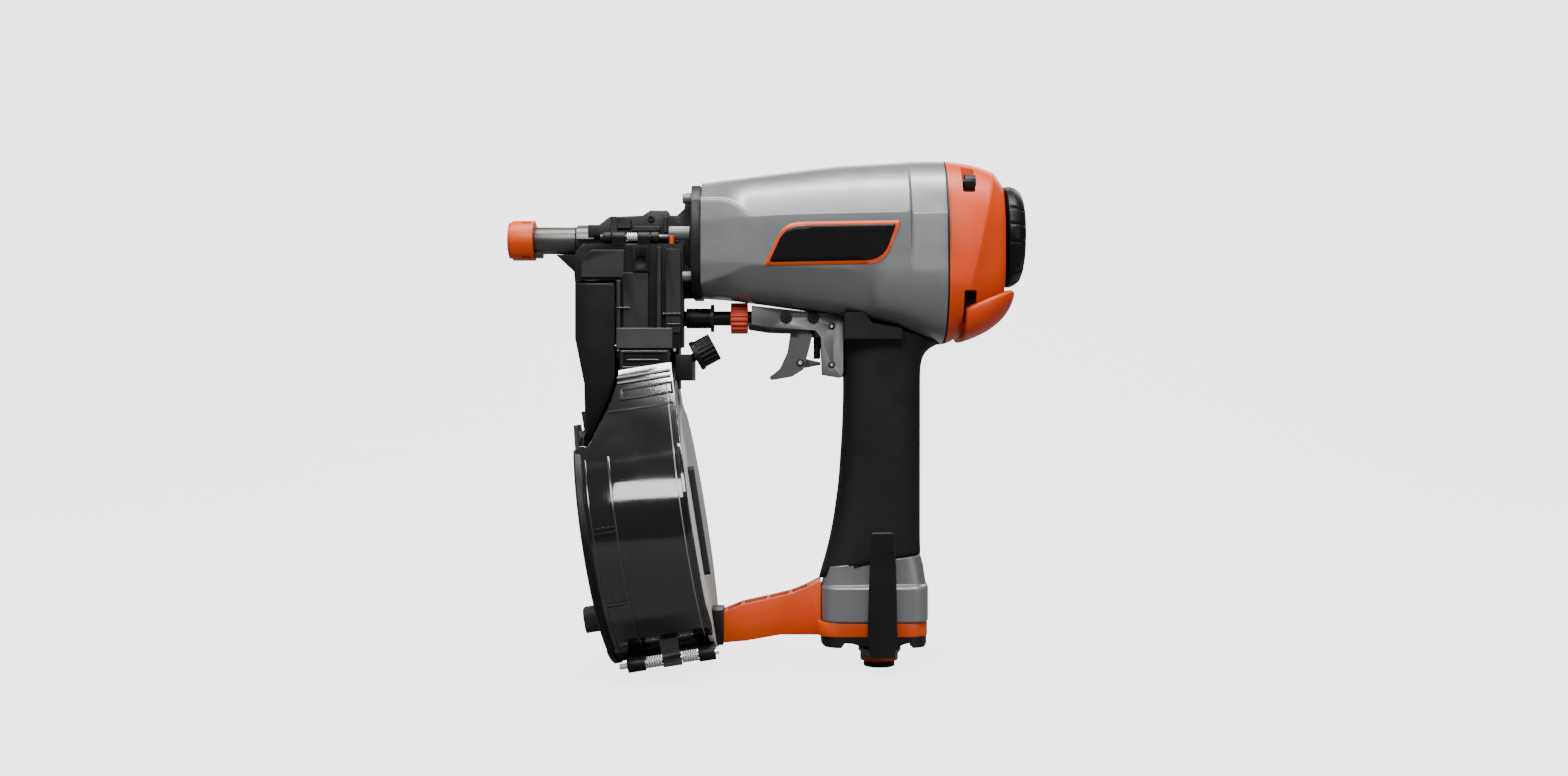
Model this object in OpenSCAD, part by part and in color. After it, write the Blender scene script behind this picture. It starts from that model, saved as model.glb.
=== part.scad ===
// Pneumatic coil nailer. X runs from nose (-) to rear cap (+), Z is up,
// and the origin is the centre of the air inlet's mouth.

/* [Body] */
// Height of the drive axis above the inlet mouth
drive_z = 246; // [245.8:0.1:246.2]
// X of the housing's front face
body_front = -102; // [-102.2:0.1:-101.8]
// X of the housing's rear face
body_rear = 35.6; // [35.4:0.1:35.8]
// Radius of the housing at its front
front_r = 34.2; // [34:0.1:34.6]
// Radius of the housing at its rear
rear_r = 45.2; // [45:0.1:45.6]

/* [Drive] */
// Bore radius of the cylinder liner
liner_r = 21; // [20.8:0.1:21.2]
// Distance that the piston travels
stroke = 84; // [82:1:84]
// Radius of the driver blade
blade_r = 2.6; // [2.4:0.1:2.8]

/* [Nose] */
// Outer radius of the no-mar cap
cap_r = 11.6; // [11:0.1:12]
// Outer radius of the contact tube
tube_r = 7.85; // [7.5:0.05:7.9]
// X of the cap's front face
nose_x = -213.9; // [-214.1:0.1:-213.7]

/* [Magazine] */
// Outer radius of the canister
drum_r = 72; // [71.6:0.1:72.2]
// Wall thickness of the canister
shell_t = 2.5; // [2.3:0.1:2.7]
// Tilt of the canister's axis from horizontal, rear end up
drum_tilt = 9; // [8.9:0.1:9.1]

/* [Controls] */
// Radius of the depth wheel
wheel_r = 9; // [8.7:0.1:9.1]
// Radius of the round rod that the contact element pushes back
rod_r = 4.25; // [4.2:0.05:4.25]
// Radius of the latch knob's flange
knob_r = 8.9; // [8.6:0.1:9.1]

/* [Air inlet] */
// Radius of the inlet's threaded hole
inlet_r = 5.56; // [5.5:0.02:5.6]
// Depth of the inlet's threaded hole
inlet_len = 14; // [12:1:14]

/* [Hidden] */
$fn = 64;
slide_gap = 0.05;
piston_front = 2;
drum_x = -134;
drum_y = 4;
drum_z = 78;
drum_u0 = -28;
drum_u1 = 30;
disc_r = drum_r - 8.5;
hinge_v = -38;
hinge_w = -70;
knuckle_r = 4.2;
door_hinge_y = -13;
door_hinge_z = 247;
deflector_z = 248;
trigger_x = -53.9;
trigger_z = 201.3;
lever_x = -45.8;
lever_z = 175.2;
valve_x = -36;
rod_z = 201;
feed_x = -146;
feed_y = 29;
pawl_z = 219.2;
bolt_out = 28;

// ---- Helpers -------------------------------------------------------------

module block(x, y, z) {
    translate([x[0], y[0], z[0]]) cube([x[1] - x[0], y[1] - y[0], z[1] - z[0]]);
}

module rod_x(x0, x1, r, y = 0, z = drive_z) {
    translate([x0, y, z]) rotate([0, 90, 0]) cylinder(h = x1 - x0, r = r);
}

module rod_y(y0, y1, r, x, z) {
    translate([x, y0, z]) rotate([-90, 0, 0]) cylinder(h = y1 - y0, r = r);
}

module rod_z(z0, z1, r, x = 0, y = 0) {
    translate([x, y, z0]) cylinder(h = z1 - z0, r = r);
}

module ring_x(x0, x1, r_out, r_in, y = 0, z = drive_z) {
    difference() {
        rod_x(x0, x1, r_out, y, z);
        rod_x(x0 - 1, x1 + 1, r_in, y, z);
    }
}

// Extrudes an XZ outline from y0 to y1
module side(y0, y1) {
    translate([0, y1, 0]) rotate([90, 0, 0]) linear_extrude(y1 - y0) children();
}

// Extrudes a YZ outline from x0 to x1
module section(x0, x1) {
    translate([x0, 0, 0]) rotate([90, 0, 90]) linear_extrude(x1 - x0) children();
}

module round_rect(x0, x1, y0, y1, r) {
    translate([x0 + r, y0]) square([x1 - x0 - 2 * r, y1 - y0]);
    translate([x0, y0 + r]) square([x1 - x0, y1 - y0 - 2 * r]);
    for (x = [x0 + r, x1 - r], y = [y0 + r, y1 - r]) translate([x, y]) circle(r);
}

// The canister's own frame: u along its axis, v across, w up
module drum_frame() {
    translate([drum_x, drum_y, drum_z]) rotate([0, -drum_tilt, 0]) children();
}

// ---- Housing, cap and drive ----------------------------------------------

module belly_section() {
    polygon([[-41, 226], [-38, 206], [-26, 190], [-18, 186.2], [18, 186.2], [26, 190], [38, 206], [41, 226]]);
}

module rear_section() {
    translate([0, drive_z]) circle(rear_r);
    belly_section();
}

module belly_outline() {
    polygon([[-78, 250], [-78, 209.5], [-69, 208.2], [-21, 202.4], [9, 196.6], [24, 189.7],
        [body_rear, 186.2], [body_rear, 285], [-20, 285]]);
}

module main_housing() {
    color("silver") difference() {
        union() {
            translate([body_front, 0, drive_z]) rotate([0, 90, 0])
                cylinder(h = body_rear - body_front, r1 = front_r, r2 = rear_r);
            intersection() {
                section(-12, body_rear) belly_section();
                side(-45, 45) belly_outline();
            }
            side(-16, 16) belly_outline();
            translate([0, 0, 60]) linear_extrude(140) round_rect(-17.5, 20.3, -14, 14, 10);
            intersection() {
                side(-19, 19) polygon([[-33.8, 27.3], [27.8, 27.3], [27.8, 48], [26, 57],
                    [23.2, 64.2], [-6, 60], [-20, 56.5], [-33.8, 51]]);
                translate([0, 0, 20]) linear_extrude(60) round_rect(-33.8, 27.8, -19, 19, 12);
            }
        }
        rod_x(body_front - 1, -50, 25);
        rod_x(-55, body_rear + 1, 33);
        rod_z(34, 225, 11, 1.5);
        rod_z(26, 35, 8);
        rod_z(190, 216, 6.55, valve_x);
        cap_bolt_places() rod_x(15, 60, 2.5, 0, 0);
        nose_bolt_places() rod_x(-103, -88, 2, 0, 0);
        end_bolt_places() rod_z(27, 31, 1.55);
        rod_x(-86.4, -75.4, wheel_r + 0.5, 0, rod_z);
    }
}

module cap_bolt_places() {
    for (y = [-bolt_out, bolt_out], z = [-37, 30]) translate([0, y, drive_z + z]) children();
}

module nose_bolt_places() {
    for (y = [-20, 20], z = [-22, 22]) translate([0, y, drive_z + z]) children();
}

module cylinder_liner() {
    color("lightgray") ring_x(-101.5, 18, 24.9, liner_r);
}

module liner_rings() {
    color("black") for (x = [-94, -58]) ring_x(x, x + 2.5, 25, 24.9);
}

module piston_bumper() {
    color("dimgray") ring_x(-98, piston_front - stroke - 2, liner_r - 0.1, 6);
}

module piston() {
    color("lightgray") difference() {
        rod_x(piston_front, 14, liner_r - 0.3);
        ring_x(7, 10, liner_r + 1, liner_r - 2.5);
        rod_x(1, 6, blade_r + 0.01);
    }
}

module piston_ring() {
    color("black") ring_x(7.2, 9.8, liner_r - slide_gap, liner_r - 2.4);
}

module driver_blade() {
    color("gray") rod_x(-118, 6, blade_r);
}

module head_valve() {
    color("dimgray") ring_x(19, 32, 30, 12);
}

module cap_gasket() {
    color("black") difference() {
        section(body_rear, body_rear + 0.8) rear_section();
        rod_x(body_rear - 1, body_rear + 2, 33.2);
        cap_bolt_places() rod_x(body_rear - 1, body_rear + 2, 2.8, 0, 0);
    }
}

module cap_outline() {
    x0 = body_rear + 0.8;
    polygon([[x0, 291.5], [44.9, 290.2], [60.6, 287.7], [64.6, 285.4], [68.7, 282], [70.4, 277.2],
        [70.8, 218.4], [75.8, 216.6], [76.2, 214], [73.2, 207], [68.1, 200], [57.7, 194], [46.2, 188.5], [x0, 186]]);
}

module rear_cap() {
    color("orangered") difference() {
        union() {
            intersection() {
                side(-46, 46) cap_outline();
                section(body_rear + 0.8, 81) rear_section();
            }
            rod_x(24, body_rear + 1, 32.9);
        }
        rod_x(23, 54, 30.05);
        rod_x(46, 64, 18);
        rod_x(56, 72, 4.05, 0, deflector_z);
        cap_bolt_places() rod_x(26, 66, 2.6, 0, 0);
        cap_bolt_places() rod_x(46.2, 90, 7.5, 0, 0);
    }
}

module cap_bolts() {
    color("dimgray") cap_bolt_places() {
        rod_x(18, 47, 2.45, 0, 0);
        difference() {
            rod_x(46.2, 52.2, 4.4, 0, 0);
            rod_x(49.2, 53.2, 2, 0, 0);
        }
    }
}

module exhaust_deflector() {
    color("black") {
        difference() {
            rod_x(71.1, 82, 29.2, 0, deflector_z);
            for (a = [0 : 20 : 340])
                translate([0, 0, deflector_z]) rotate([a, 0, 0]) block([73, 86], [-1, 1], [26, 31]);
            ring_x(70, 73.5, 27, 9, 0, deflector_z);
        }
        rod_x(58, 71.5, 4, 0, deflector_z);
    }
}

// ---- Handle end and inlet ------------------------------------------------

module end_bolt_places() {
    for (x = [-26, 20], y = [-11, 11]) translate([x, y, 0]) children();
}

module end_plate() {
    color("black") difference() {
        translate([0, 0, 12.8]) linear_extrude(6.3) round_rect(-33.8, 26.8, -19, 19, 12);
        rod_z(12, 20, 9.05);
        end_bolt_places() rod_z(12, 20, 1.6);
        end_bolt_places() rod_z(12, 16, 3.3);
    }
}

module end_plate_bolts() {
    color("gray") end_bolt_places() {
        rod_z(13.2, 16, 3.2);
        rod_z(15, 30, 1.5);
    }
}

module magazine_strut() {
    color("orangered") difference() {
        union() {
            translate([0, 0, 19.1]) linear_extrude(8.2) round_rect(-36, 27.2, -19.2, 19.2, 12);
            side(-9.5, 9.5) polygon([[-89.8, 14.5], [-77, 15.6], [-57, 19.1], [-30, 19.1], [-30, 27.3],
                [-33.9, 27.3], [-33.9, 50.6], [-42, 46.4], [-50.5, 43], [-63, 40], [-79, 36.5], [-89.8, 32.2]]);
        }
        rod_z(18, 28, 9.05);
        end_bolt_places() rod_z(18, 28, 1.6);
        for (x = [[-87.5, -80], [-77.5, -65.5], [-63, -52.5], [-50, -42]])
            block(x, [-7, 7], [26, 60]);
    }
}

module inlet_fitting() {
    color("dimgray") difference() {
        union() {
            rod_z(0, 27.2, 9);
            rod_z(27, 34, 7.95);
        }
        rod_z(-1, inlet_len, inlet_r);
        rod_z(inlet_len - 1, 35, 4.5);
    }
}

module inlet_collar() {
    color("orangered") difference() {
        rod_z(3.5, 9.3, 11);
        rod_z(3, 10, 9);
    }
}

module belt_hook() {
    color("black") difference() {
        union() {
            rod_z(9.5, 12.5, 12.5);
            block([-7, 7], [-33, 0], [9.5, 12.5]);
            block([-7, 7], [-33, -30], [9.5, 80]);
        }
        rod_z(9, 13, 9.05);
    }
}

module grip_sleeve() {
    color("dimgray") difference() {
        side(-17.5, 17.5) polygon([[-20.9, 199], [-20.9, 136], [-23.8, 96], [-28.4, 70], [-34, 51.3],
            [-20, 56.8], [-6, 60.3], [23.2, 64.5], [23.8, 180], [25, 185], [9, 195.5]]);
        translate([0, 0, 40]) linear_extrude(180) round_rect(-17.5, 20.3, -14, 14, 10);
        side(-46, 46) belly_outline();
    }
}

// ---- Nose ----------------------------------------------------------------

module nose_casting() {
    color("dimgray") difference() {
        union() {
            intersection() {
                rod_x(-107.3, body_front, 37);
                block([-108, -101], [-31.9, 31.9], [211.7, 275]);
            }
            side(-9.5, 9.5) polygon([[-167.6, 247.2], [-167.6, 254.4], [-161.2, 254.4], [-155.4, 258.9],
                [-136.2, 259.7], [-132.7, 262.1], [-121.5, 262.1], [-120.6, 259.7], [-116.5, 259.7],
                [-112.3, 263.7], [-111.4, 272.6], [-106, 272.6], [-106, 225], [-112, 232], [-112, 247.2]]);
            block([-165, -113.5], [3, 14], [186, 248.4]);
            block([-114, -106.5], [8, 13.5], [213, 247.9]);
            side(-2.6, 4) polygon([[-187, 237.8], [-176.5, 228], [-176, 221], [-163, 221], [-163, 237.8]]);
            for (x = [[-158.3, -153.6], [-131.2, -126.4]]) {
                rod_x(x[0], x[1], 3, door_hinge_y, door_hinge_z);
                block(x, [-12.4, -8], [door_hinge_z + 0.6, door_hinge_z + 2.2]);
            }
        }
        rod_x(-156, -100, 3.4);
        rod_x(-160, -124, 1.5, door_hinge_y, door_hinge_z);
        block([-151, -141], [2, 15], [211, 238]);
        nose_bolt_places() rod_x(-109, -101, 2.1, 0, 0);
        rod_x(-190, -155, 5.5);
    }
}

module nose_bolts() {
    color("silver") nose_bolt_places() {
        rod_x(-112.5, -107.3, 2.9, 0, 0);
        rod_x(-108, -90, 1.95, 0, 0);
    }
}

module nose_barrel() {
    color("gray") ring_x(-196, -155, 5.5, 3.4);
}

module nose_cap() {
    color("orangered") difference() {
        union() {
            rod_x(nose_x + 2, -199.4, cap_r);
            rod_x(nose_x, nose_x + 3, cap_r - 1.2);
        }
        rod_x(nose_x - 1, -199, 6);
        for (a = [60, 90, 120, 240, 270, 300])
            translate([0, 0, drive_z]) rotate([a - 90, 0, 0]) block([-206, -201], [-1.2, 1.2], [cap_r - 0.8, cap_r + 1]);
    }
}

module contact_tube() {
    color("dimgray") {
        ring_x(-199.4, -175.2, tube_r, 5.5 + slide_gap);
        block([-199.2, -194.8], [-4, 4], [236, 239.5]);
    }
}

module contact_arm() {
    color("dimgray") difference() {
        union() {
            block([-184, -178], [5, 17], [238, 246]);
            block([-184, -117], [14.4, 17], [237, 244]);
            block([-126, -117], [14.4, 17], [197, 244]);
            block([-126, -98], [14.4, 17], [197, 206]);
            block([-106, -98], [2, 17], [196.7, 205.3]);
        }
        rod_x(-190, -170, tube_r + 0.02);
        rod_x(-107, -97, 5.82, 0, rod_z);
    }
}

module contact_rod() {
    color("dimgray") {
        rod_x(-111.5, -95.5, 5.8, 0, rod_z);
        rod_x(-97.4, -95.6, 8, 0, rod_z);
        rod_x(-96, -68.5, rod_r, 0, rod_z);
    }
}

module depth_wheel() {
    color("orangered") difference() {
        rod_x(-85.8, -76, wheel_r, 0, rod_z);
        rod_x(-87, -75, rod_r + slide_gap, 0, rod_z);
        for (a = [0 : 18 : 342])
            translate([0, 0, rod_z]) rotate([a, 0, 0]) translate([-87, 0, wheel_r + 0.6]) rotate([0, 90, 0])
                cylinder(h = 12, r = 1.2, $fn = 16);
    }
}

module depth_stop() {
    color("gray") ring_x(-70.7, -68.1, 6.2, rod_r + slide_gap, 0, rod_z);
}

module nose_door() {
    color("black") {
        difference() {
            union() {
                side(-15, -3) polygon([[-174, 239], [-170, 243], [-112.5, 243], [-112.5, 184], [-150.8, 177.8],
                    [-150.8, 222.4], [-174, 222.4]]);
                for (x = [[-153.2, -145.8], [-138.4, -131.6]]) {
                    rod_x(x[0], x[1], 3, door_hinge_y, door_hinge_z);
                    block(x, [-15.5, -10.5], [242, door_hinge_z]);
                }
            }
            rod_x(-154, -131, 1.55, door_hinge_y, door_hinge_z);
            rod_x(-176, -111, tube_r + 0.5);
            block([-176, -157], [-4, -2], [220, 244]);
        }
    }
}

module door_hinge_pin() {
    color("silver") rod_x(-160, -121, 1.5, door_hinge_y, door_hinge_z);
}

module door_spring() {
    color("silver") for (x = [-145.2 : 1.6 : -140])
        ring_x(x, x + 1.2, 2.7, 1.6, door_hinge_y, door_hinge_z);
}

module door_latch() {
    color("black") difference() {
        block([-141, -132], [-18, -15], [227, 242]);
        rod_y(-19, -16.5, 3, -136.5, 233);
    }
}

// ---- Magazine ------------------------------------------------------------

module shield_outline(g = 0) {
    polygon([[-173.6 - g, 220 + g], [-173.6 - g, 189], [-168.4 - g, 163], [-168 - g, 145],
        [-167 - g, 130.5 - g], [-165 + g, 130.5 - g], [-154 + g, 155 - g], [-151 + g, 165], [-151 + g, 220 + g]]);
}

module front_shield() {
    color("black") difference() {
        side(-21, 21) shield_outline();
        side(-18.5, 18.5) translate([3, 1]) shield_outline();
        block([-180, -150], [2.5, 22], [185.8, 225]);
    }
}

module case_outline() {
    circle(drum_r);
    polygon([[-24, 94], [20, 94], [20, 68], [-20, 40], [-55, 46.4]]);
}

module case_inside() {
    circle(drum_r - shell_t);
    polygon([[-21.5, 96], [17.5, 96], [17.5, 60], [-20, 38], [-52.6, 45]]);
}

module cover_side() {
    polygon([[-0.4, 100], [-0.4, 0], [-54.6, -100], [-100, -100], [-100, 100]]);
}

module base_side() {
    polygon([[0.4, 100], [0.4, 0], [-53.8, -100], [100, -100], [100, 100]]);
}

module knuckle(u, bore) {
    difference() {
        section(u[0], u[1]) children();
        rod_x(u[0] - 1, u[1] + 1, bore, hinge_v, hinge_w);
    }
    ring_x(u[0], u[1], knuckle_r, bore, hinge_v, hinge_w);
}

module canister_cover() {
    color([0.2, 0.2, 0.22, 0.6]) difference() {
        drum_frame() {
            intersection() {
                section(drum_u0, drum_u1) cover_side();
                union() {
                    section(drum_u0, drum_u1) difference() {
                        case_outline();
                        case_inside();
                    }
                    for (u = [drum_u0, drum_u1 - 2]) section(u, u + 2) difference() {
                        case_outline();
                        circle(disc_r + 0.5);
                        translate([-22, 30]) square([25, 70]);
                    }
                }
            }
            knuckle([0.5, 10.8], 1.65)
                polygon([[-41.8, -69], [-37.6, -66.4], [-36, -62.1], [-43, -57.4]]);
        }
        side(-110, 6) shield_outline(2);
        block([-200, -165], [-110, 6], [140, 240]);
    }
}

module base_bosses(g = 0) {
    difference() {
        block([-150 - g, -116 + g], [6 - g, 22.5 + g], [160 - g, 186 + g]);
        rod_z(178, 190, 9.7 - g, feed_x, feed_y);
    }
    block([-117 - g, -107.5 + g], [-14 - g, 22.5 + g], [165 - g, 180 + g]);
}

module magazine_base() {
    color("black") difference() {
        union() {
            drum_frame() {
                intersection() {
                    section(drum_u0, drum_u1) base_side();
                    section(drum_u0, drum_u1 - 2.6) difference() {
                        case_outline();
                        case_inside();
                    }
                }
                section(drum_u0, drum_u0 + shell_t) {
                    circle(disc_r);
                    intersection() {
                        case_outline();
                        base_side();
                    }
                }
                for (u = [[-19.4, -9.6], [20.8, 30]]) knuckle(u, 1.6)
                    polygon([[-38, -73.4], [-36, -66.8], [-31, -64.6], [-22, -68.2]]);
            }
            base_bosses();
        }
        side(-21.2, 21.2) shield_outline(0.2);
        block([-200, -160], [-30, 30], [147, 240]);
        knob_frame() cylinder(h = 24, r = 2.55, center = true);
    }
}

module canister_back_plate() {
    color("lightgray") difference() {
        drum_frame() section(drum_u1 - 2.5, drum_u1) {
            circle(disc_r);
            intersection() {
                case_outline();
                base_side();
            }
        }
        base_bosses(0.1);
        drum_frame() section(drum_u1 - 3, drum_u1 + 1)
            polygon([[-38.4, -74], [-36.4, -66.2], [-31, -63.9], [-20, -67.8]]);
    }
}

module back_strip() {
    color("black") drum_frame() section(drum_u1, drum_u1 + 3.4) round_rect(-30, -24, -28, 34, 2.9);
}

module cover_hinge_pin() {
    color("silver") drum_frame() rod_x(-24, 32, 1.6, hinge_v, hinge_w);
}

module cover_springs() {
    color("silver") drum_frame()
        for (u = [[-9.2, 0], [11.2, 20.4]], k = [0 : 4])
            translate([u[0] + 0.2 + k * 1.8, 0, 0]) ring_x(0, 1.4, 3.4, 1.7, hinge_v, hinge_w);
}

module nail_post() {
    color("gray") drum_frame() rod_x(drum_u0 + shell_t, 22, 6, 0, 0);
}

module nail_platform() {
    color("dimgray") drum_frame() ring_x(-22, -19, 54, 6.1, 0, 0);
}

module rest_foot() {
    color("black") drum_frame() section(-39.5, drum_u0) round_rect(-40, -22, -49, -35, 5);
}

module strut_socket() {
    color("black") difference() {
        block([-99, -89.8], [-11, 11], [13.3, 33.6]);
        drum_frame() block([-60, drum_u1], [-80, 80], [-90, 0]);
    }
}

module knob_frame() {
    translate([-110, -8, 176.6]) rotate([0, 62, 0]) children();
}

module latch_knob() {
    color("black") knob_frame() {
        translate([0, 0, -7]) cylinder(h = 13, r = 2.5);
        translate([0, 0, 4.5]) cylinder(h = 2.5, r = knob_r);
        difference() {
            translate([0, 0, 6.5]) cylinder(h = 10.5, r = knob_r - 0.8);
            for (a = [0 : 20 : 340]) rotate([0, 0, a]) translate([knob_r, 0, 7.5])
                cylinder(h = 12, r = 1.3, $fn = 16);
        }
    }
}

// ---- Feed mechanism ------------------------------------------------------

module feed_cylinder() {
    color("dimgray") {
        difference() {
            rod_z(180, 212, 9.5, feed_x, feed_y);
            rod_z(179, 209, 7, feed_x, feed_y);
            rod_z(208, 213, 2.55, feed_x, feed_y);
        }
        difference() {
            block([-153, -139], [14, 24], [188, 206]);
            rod_z(179, 213, 9, feed_x, feed_y);
        }
    }
}

module feed_cap() {
    color("silver") rod_z(180.5, 184, 6.98, feed_x, feed_y);
}

module feed_piston() {
    color("silver") difference() {
        union() {
            rod_z(184.5, 191, 6.95, feed_x, feed_y);
            rod_z(190, 216, 2.5, feed_x, feed_y);
            block([-150, -142], [25, 33], [215, 224]);
        }
        block([-148.3, -143.7], [24, 34], [216.2, 225]);
        rod_x(-151, -141, 1.5, feed_y, pawl_z);
    }
}

module pawl_pin() {
    color("gray") rod_x(-150, -142, 1.5, feed_y, pawl_z);
}

module feed_pawl() {
    color("gray") difference() {
        block([-148, -144], [1, 31], [217, 221.5]);
        rod_x(-149, -143, 1.55, feed_y, pawl_z);
    }
}

// ---- Trigger group -------------------------------------------------------

module bracket_outline() {
    polygon([[-73.7, 208], [-73.7, 197.2], [-63, 195.5], [-37, 193.7], [-34, 189.7], [-33, 168.2],
        [-22.5, 166.5], [-21.2, 170], [-21.2, 202.2]]);
}

module trigger_bracket() {
    color("silver") difference() {
        union() {
            for (y = [-11, 9]) side(y, y + 2) bracket_outline();
            block([-73.7, -72.5], [-9.1, 9.1], [197, 208]);
            block([-23.2, -21.2], [-9.1, 9.1], [167, 202]);
        }
        side(-46, 46) belly_outline();
        rod_x(-75, -71, rod_r + 0.4, 0, rod_z);
        for (x = [trigger_x, -38.3]) rod_y(-12, 12, 2, x, trigger_z);
        for (z = [196, 174]) rod_y(-12, 12, 1.2, -27.8, z);
    }
}

module bracket_screws() {
    color("dimgray") for (s = [-1, 1]) {
        rod_y(s * 11.75 - 0.75, s * 11.75 + 0.75, 3.1, -38.3, trigger_z);
        rod_y(s * 10 - 1.1, s * 10 + 1.1, 1.95, -38.3, trigger_z);
        rod_y(s * 11.75 - 0.75, s * 11.75 + 0.75, 3.1, trigger_x, trigger_z);
    }
}

module bracket_pins() {
    color("gray") for (s = [-1, 1], z = [196, 174]) rod_y(s * 10.1 - 1.1, s * 10.1 + 1.1, 1.2, -27.8, z);
}

module guard_strip() {
    color("black") difference() {
        union() {
            side(-11, 11) polygon([[-75.5, 198], [-73.8, 198], [-73.8, 197.1], [-63, 195.3], [-60.5, 195],
                [-60.5, 192.8], [-64, 192.8], [-75.5, 194.6]]);
            for (y = [-11, 9]) side(y, y + 2)
                polygon([[-63, 195.3], [-46.6, 194.2], [-47.4, 192.3], [-63, 192.8]]);
        }
        rod_x(-76, -59, rod_r + 0.4, 0, rod_z);
        rod_x(-74.2, -59, 6.5, 0, rod_z);
    }
}

module trigger() {
    color("silver") difference() {
        union() {
            side(-7.5, 7.5) polygon([[-56.8, 199], [-50.3, 199], [-39.5, 191], [-41.2, 182.7], [-44, 171.2],
                [-50.5, 167.3], [-62.4, 165.6], [-63.4, 167], [-57.6, 171.6], [-53.2, 181], [-52, 192]]);
            rod_y(-7.5, 7.5, 3.8, trigger_x, trigger_z);
        }
        side(-5, 5) polygon([[-49.6, 192], [-50.6, 181], [-53.5, 173], [-51, 170.2], [-30, 170.2], [-30, 210],
            [-60, 210], [-60, 196.5]]);
        rod_y(-9, 9, 2.05, trigger_x, trigger_z);
        rod_y(-9, 9, 1.5, lever_x, lever_z);
    }
}

module trigger_pin() {
    color("silver") rod_y(-11, 11, 2, trigger_x, trigger_z);
}

module trip_lever() {
    color("dimgray") difference() {
        side(-3, 3) polygon([[-48.5, 172.3], [-43, 172.3], [-34, 174], [-34, 175.6], [-43.4, 177.8],
            [-45.2, 186], [-47.5, 185.5]]);
        rod_y(-9, 9, 1.55, lever_x, lever_z);
    }
}

module lever_pin() {
    color("gray") rod_y(-7.5, 7.5, 1.5, lever_x, lever_z);
}

module trigger_valve() {
    color("dimgray") difference() {
        union() {
            rod_z(190, 198, 4.6, valve_x);
            rod_z(197, 214, 6.5, valve_x);
        }
        rod_z(189, 208, 2.05, valve_x);
    }
}

module valve_stem() {
    color("black") rod_z(177.5, 202, 2, valve_x);
}

module side_badges() {
    color("black") for (s = [-1, 1])
        intersection() {
            side(-44, 44) polygon([[-66.6, 228.8], [0.5, 229.4], [9.8, 253.2], [-54.8, 252.8]]);
            block([-70, 20], [s * 24 - 24, s * 24 + 24], [226, 256]);
            difference() {
                translate([body_front, 0, drive_z]) rotate([0, 90, 0])
                    cylinder(h = body_rear - body_front, r1 = front_r + 0.7, r2 = rear_r + 0.7);
                translate([body_front, 0, drive_z]) rotate([0, 90, 0])
                    cylinder(h = body_rear - body_front, r1 = front_r, r2 = rear_r);
            }
        }
}

main_housing();
grip_sleeve();
end_plate();
end_plate_bolts();
magazine_strut();
inlet_fitting();
inlet_collar();
cylinder_liner();
liner_rings();
piston_bumper();
piston();
piston_ring();
driver_blade();
head_valve();
cap_gasket();
rear_cap();
cap_bolts();
exhaust_deflector();
nose_casting();
nose_bolts();
nose_barrel();
nose_cap();
contact_tube();
contact_arm();
contact_rod();
depth_wheel();
depth_stop();
nose_door();
door_hinge_pin();
door_spring();
door_latch();
front_shield();
magazine_base();
canister_back_plate();
back_strip();
canister_cover();
cover_hinge_pin();
cover_springs();
nail_post();
nail_platform();
rest_foot();
strut_socket();
latch_knob();
feed_cylinder();
feed_cap();
feed_piston();
pawl_pin();
feed_pawl();
trigger_bracket();
bracket_screws();
bracket_pins();
guard_strip();
trigger();
trigger_pin();
trip_lever();
lever_pin();
trigger_valve();
valve_stem();
belt_hook();
side_badges();
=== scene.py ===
"""Looks of a pneumatic coil nailer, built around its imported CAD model."""
import math

import bmesh
import bpy
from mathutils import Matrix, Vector
from mathutils.bvhtree import BVHTree


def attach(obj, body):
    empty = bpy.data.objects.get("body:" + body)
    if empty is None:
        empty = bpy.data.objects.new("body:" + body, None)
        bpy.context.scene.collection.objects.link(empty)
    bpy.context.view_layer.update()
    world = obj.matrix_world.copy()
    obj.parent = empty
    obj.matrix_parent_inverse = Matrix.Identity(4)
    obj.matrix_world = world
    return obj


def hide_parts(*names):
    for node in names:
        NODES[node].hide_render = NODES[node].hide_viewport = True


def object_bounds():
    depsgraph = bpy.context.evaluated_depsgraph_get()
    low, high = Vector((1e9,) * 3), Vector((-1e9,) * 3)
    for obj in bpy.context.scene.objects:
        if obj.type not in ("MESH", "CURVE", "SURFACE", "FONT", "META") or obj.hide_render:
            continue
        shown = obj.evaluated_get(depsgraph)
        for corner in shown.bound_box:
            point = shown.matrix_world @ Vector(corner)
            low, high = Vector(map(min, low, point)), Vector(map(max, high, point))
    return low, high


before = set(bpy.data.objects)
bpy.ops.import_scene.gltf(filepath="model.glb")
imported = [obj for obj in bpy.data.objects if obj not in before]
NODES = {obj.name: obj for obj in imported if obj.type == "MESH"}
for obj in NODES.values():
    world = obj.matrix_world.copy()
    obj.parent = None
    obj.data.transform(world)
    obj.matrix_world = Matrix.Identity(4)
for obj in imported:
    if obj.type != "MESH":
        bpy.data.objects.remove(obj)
CAD_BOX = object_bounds()
MM = 0.001

# Places that several pieces share, in millimetres
DRIVE_Z = 246
DEFLECTOR_Z = 248
DRUM = Vector((-134, 4, 78))
TILT = math.radians(9)
DRUM_R = 72
WELD_GAP = 0.02


# ---- Materials --------------------------------------------------------------

def new_material(name):
    mat = bpy.data.materials.new(name)
    mat.use_nodes = True
    tree = mat.node_tree
    shader = tree.nodes["Principled BSDF"]
    return mat, tree, shader


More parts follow.
